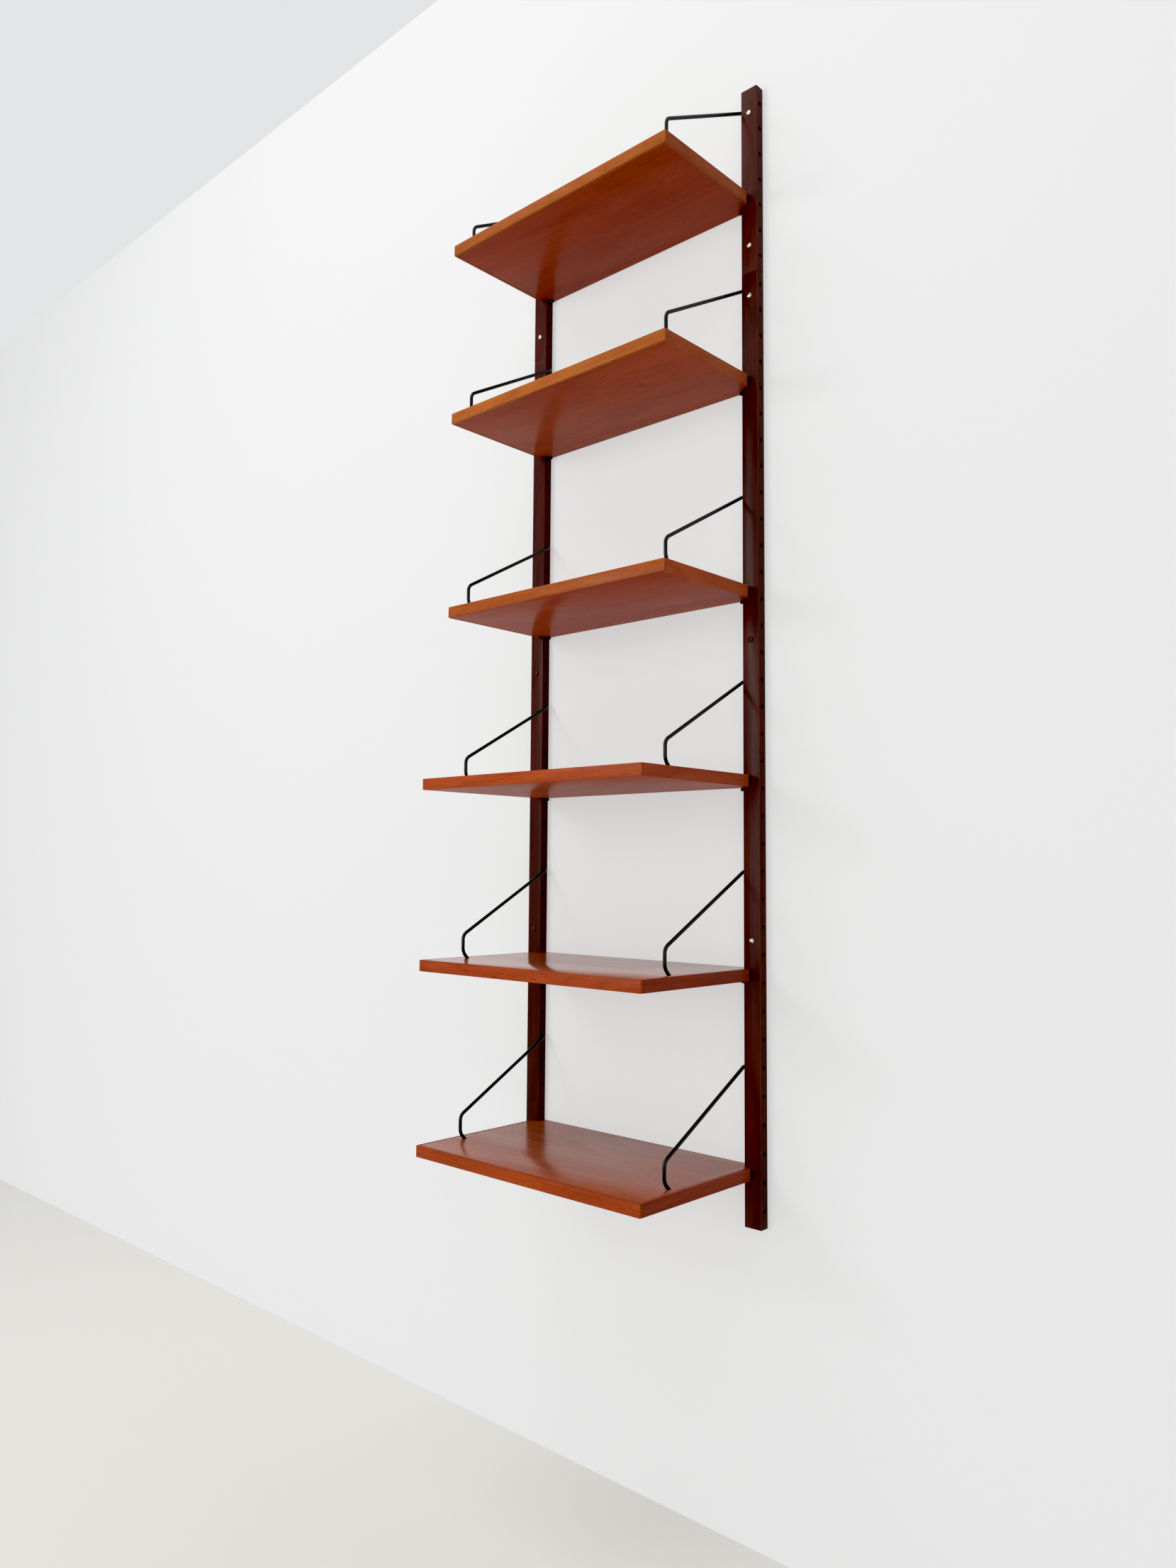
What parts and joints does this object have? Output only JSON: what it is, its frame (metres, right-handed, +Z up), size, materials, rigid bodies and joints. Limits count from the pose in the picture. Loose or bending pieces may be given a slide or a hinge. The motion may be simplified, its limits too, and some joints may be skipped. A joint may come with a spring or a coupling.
{
  "type": "wall-mounted shelving bay",
  "caption": "Wall-hung shelf bay: notched wooden boards on pegs and bent wire hangers between two drilled uprights.",
  "frame": {"origin": "in the wall plane, midway between the two uprights, level with their lower ends", "axes": "+X to the right as seen from the room, +Y into the wall, +Z up; the front of the boards faces -Y"},
  "size_m": [0.533, 0.298, 1.9083],
  "materials": {
    "upright_wood": "dark oiled teak, satin, long grain up the post",
    "extension_wood": "oiled teak a little lighter and redder than the lower posts, satin",
    "board_veneer": "teak veneer under a satin-gloss lacquer, grain along the board",
    "front_edge_wood": "solid orange-brown teak strip, satin lacquer",
    "black_wire": "satin black enamel on 6 mm round steel",
    "screw_metal": "nickel-plated round heads, some tarnished dark"
  },
  "bodies": {
    "uprights": {"upright_left": "upright_wood", "upright_extension_left": "extension_wood", "wall_screw_left_1": "screw_metal", "wall_screw_left_2": "screw_metal", "wall_screw_left_3": "screw_metal", "wall_screw_left_4": "screw_metal", "wall_screw_left_5": "screw_metal", "upright_right": "upright_wood", "upright_extension_right": "extension_wood", "wall_screw_right_1": "screw_metal", "wall_screw_right_2": "screw_metal", "wall_screw_right_3": "screw_metal", "wall_screw_right_4": "screw_metal", "wall_screw_right_5": "screw_metal"},
    "shelf_1": {"board_1": "board_veneer", "front_edge_1": "front_edge_wood"},
    "hanger_1_left": {"hanger_1_left": "black_wire"},
    "peg_1_left": {"peg_1_left": "black_wire"},
    "hanger_1_right": {"hanger_1_right": "black_wire"},
    "peg_1_right": {"peg_1_right": "black_wire"},
    "shelf_2": {"board_2": "board_veneer", "front_edge_2": "front_edge_wood"},
    "hanger_2_left": {"hanger_2_left": "black_wire"},
    "peg_2_left": {"peg_2_left": "black_wire"},
    "hanger_2_right": {"hanger_2_right": "black_wire"},
    "peg_2_right": {"peg_2_right": "black_wire"},
    "shelf_3": {"board_3": "board_veneer", "front_edge_3": "front_edge_wood"},
    "hanger_3_left": {"hanger_3_left": "black_wire"},
    "peg_3_left": {"peg_3_left": "black_wire"},
    "hanger_3_right": {"hanger_3_right": "black_wire"},
    "peg_3_right": {"peg_3_right": "black_wire"},
    "shelf_4": {"board_4": "board_veneer", "front_edge_4": "front_edge_wood"},
    "hanger_4_left": {"hanger_4_left": "black_wire"},
    "peg_4_left": {"peg_4_left": "black_wire"},
    "hanger_4_right": {"hanger_4_right": "black_wire"},
    "peg_4_right": {"peg_4_right": "black_wire"},
    "shelf_5": {"board_5": "board_veneer", "front_edge_5": "front_edge_wood"},
    "hanger_5_left": {"hanger_5_left": "black_wire"},
    "peg_5_left": {"peg_5_left": "black_wire"},
    "hanger_5_right": {"hanger_5_right": "black_wire"},
    "peg_5_right": {"peg_5_right": "black_wire"},
    "shelf_6": {"board_6": "board_veneer", "front_edge_6": "front_edge_wood"},
    "hanger_6_left": {"hanger_6_left": "black_wire"},
    "peg_6_left": {"peg_6_left": "black_wire"},
    "hanger_6_right": {"hanger_6_right": "black_wire"},
    "peg_6_right": {"peg_6_right": "black_wire"}
  },
  "joints": [
    {"name": "shelf_1_lift", "type": "slide", "parent": "uprights", "child": "shelf_1", "axis": [0, 0, 1], "range_m": [0, 0.036]},
    {"name": "hanger_1_left_swing", "type": "hinge", "parent": "uprights", "child": "hanger_1_left", "pos_m": [-0.2345, -0.00925, 1.8778], "axis": [-1, 0, 0], "range_deg": [0, 52]},
    {"name": "peg_1_left_pull", "type": "slide", "parent": "uprights", "child": "peg_1_left", "axis": [1, 0, 0], "range_m": [0, 0.018]},
    {"name": "hanger_1_right_swing", "type": "hinge", "parent": "uprights", "child": "hanger_1_right", "pos_m": [0.2345, -0.00925, 1.8778], "axis": [-1, 0, 0], "range_deg": [0, 52]},
    {"name": "peg_1_right_pull", "type": "slide", "parent": "uprights", "child": "peg_1_right", "axis": [-1, 0, 0], "range_m": [0, 0.018]},
    {"name": "shelf_2_lift", "type": "slide", "parent": "uprights", "child": "shelf_2", "axis": [0, 0, 1], "range_m": [0, 0.036]},
    {"name": "hanger_2_left_swing", "type": "hinge", "parent": "uprights", "child": "hanger_2_left", "pos_m": [-0.2345, -0.00925, 1.5575], "axis": [-1, 0, 0], "range_deg": [0, 52]},
    {"name": "peg_2_left_pull", "type": "slide", "parent": "uprights", "child": "peg_2_left", "axis": [1, 0, 0], "range_m": [0, 0.018]},
    {"name": "hanger_2_right_swing", "type": "hinge", "parent": "uprights", "child": "hanger_2_right", "pos_m": [0.2345, -0.00925, 1.5575], "axis": [-1, 0, 0], "range_deg": [0, 52]},
    {"name": "peg_2_right_pull", "type": "slide", "parent": "uprights", "child": "peg_2_right", "axis": [-1, 0, 0], "range_m": [0, 0.018]},
    {"name": "shelf_3_lift", "type": "slide", "parent": "uprights", "child": "shelf_3", "axis": [0, 0, 1], "range_m": [0, 0.036]},
    {"name": "hanger_3_left_swing", "type": "hinge", "parent": "uprights", "child": "hanger_3_left", "pos_m": [-0.2345, -0.00925, 1.1975], "axis": [-1, 0, 0], "range_deg": [0, 52]},
    {"name": "peg_3_left_pull", "type": "slide", "parent": "uprights", "child": "peg_3_left", "axis": [1, 0, 0], "range_m": [0, 0.018]},
    {"name": "hanger_3_right_swing", "type": "hinge", "parent": "uprights", "child": "hanger_3_right", "pos_m": [0.2345, -0.00925, 1.1975], "axis": [-1, 0, 0], "range_deg": [0, 52]},
    {"name": "peg_3_right_pull", "type": "slide", "parent": "uprights", "child": "peg_3_right", "axis": [-1, 0, 0], "range_m": [0, 0.018]},
    {"name": "shelf_4_lift", "type": "slide", "parent": "uprights", "child": "shelf_4", "axis": [0, 0, 1], "range_m": [0, 0.036]},
    {"name": "hanger_4_left_swing", "type": "hinge", "parent": "uprights", "child": "hanger_4_left", "pos_m": [-0.2345, -0.00925, 0.8825], "axis": [-1, 0, 0], "range_deg": [0, 52]},
    {"name": "peg_4_left_pull", "type": "slide", "parent": "uprights", "child": "peg_4_left", "axis": [1, 0, 0], "range_m": [0, 0.018]},
    {"name": "hanger_4_right_swing", "type": "hinge", "parent": "uprights", "child": "hanger_4_right", "pos_m": [0.2345, -0.00925, 0.8825], "axis": [-1, 0, 0], "range_deg": [0, 52]},
    {"name": "peg_4_right_pull", "type": "slide", "parent": "uprights", "child": "peg_4_right", "axis": [-1, 0, 0], "range_m": [0, 0.018]},
    {"name": "shelf_5_lift", "type": "slide", "parent": "uprights", "child": "shelf_5", "axis": [0, 0, 1], "range_m": [0, 0.036]},
    {"name": "hanger_5_left_swing", "type": "hinge", "parent": "uprights", "child": "hanger_5_left", "pos_m": [-0.2345, -0.00925, 0.5675], "axis": [-1, 0, 0], "range_deg": [0, 52]},
    {"name": "peg_5_left_pull", "type": "slide", "parent": "uprights", "child": "peg_5_left", "axis": [1, 0, 0], "range_m": [0, 0.018]},
    {"name": "hanger_5_right_swing", "type": "hinge", "parent": "uprights", "child": "hanger_5_right", "pos_m": [0.2345, -0.00925, 0.5675], "axis": [-1, 0, 0], "range_deg": [0, 52]},
    {"name": "peg_5_right_pull", "type": "slide", "parent": "uprights", "child": "peg_5_right", "axis": [-1, 0, 0], "range_m": [0, 0.018]},
    {"name": "shelf_6_lift", "type": "slide", "parent": "uprights", "child": "shelf_6", "axis": [0, 0, 1], "range_m": [0, 0.036]},
    {"name": "hanger_6_left_swing", "type": "hinge", "parent": "uprights", "child": "hanger_6_left", "pos_m": [-0.2345, -0.00925, 0.2525], "axis": [-1, 0, 0], "range_deg": [0, 52]},
    {"name": "peg_6_left_pull", "type": "slide", "parent": "uprights", "child": "peg_6_left", "axis": [1, 0, 0], "range_m": [0, 0.018]},
    {"name": "hanger_6_right_swing", "type": "hinge", "parent": "uprights", "child": "hanger_6_right", "pos_m": [0.2345, -0.00925, 0.2525], "axis": [-1, 0, 0], "range_deg": [0, 52]},
    {"name": "peg_6_right_pull", "type": "slide", "parent": "uprights", "child": "peg_6_right", "axis": [-1, 0, 0], "range_m": [0, 0.018]}
  ],
  "couplings": [
    {"joint": "hanger_1_left_swing", "follows": "shelf_1_lift", "rad_per_m": 25},
    {"joint": "hanger_1_right_swing", "follows": "shelf_1_lift", "rad_per_m": 25},
    {"joint": "hanger_2_left_swing", "follows": "shelf_2_lift", "rad_per_m": 25},
    {"joint": "hanger_2_right_swing", "follows": "shelf_2_lift", "rad_per_m": 25},
    {"joint": "hanger_3_left_swing", "follows": "shelf_3_lift", "rad_per_m": 25},
    {"joint": "hanger_3_right_swing", "follows": "shelf_3_lift", "rad_per_m": 25},
    {"joint": "hanger_4_left_swing", "follows": "shelf_4_lift", "rad_per_m": 25},
    {"joint": "hanger_4_right_swing", "follows": "shelf_4_lift", "rad_per_m": 25},
    {"joint": "hanger_5_left_swing", "follows": "shelf_5_lift", "rad_per_m": 25},
    {"joint": "hanger_5_right_swing", "follows": "shelf_5_lift", "rad_per_m": 25},
    {"joint": "hanger_6_left_swing", "follows": "shelf_6_lift", "rad_per_m": 25},
    {"joint": "hanger_6_right_swing", "follows": "shelf_6_lift", "rad_per_m": 25}
  ]
}
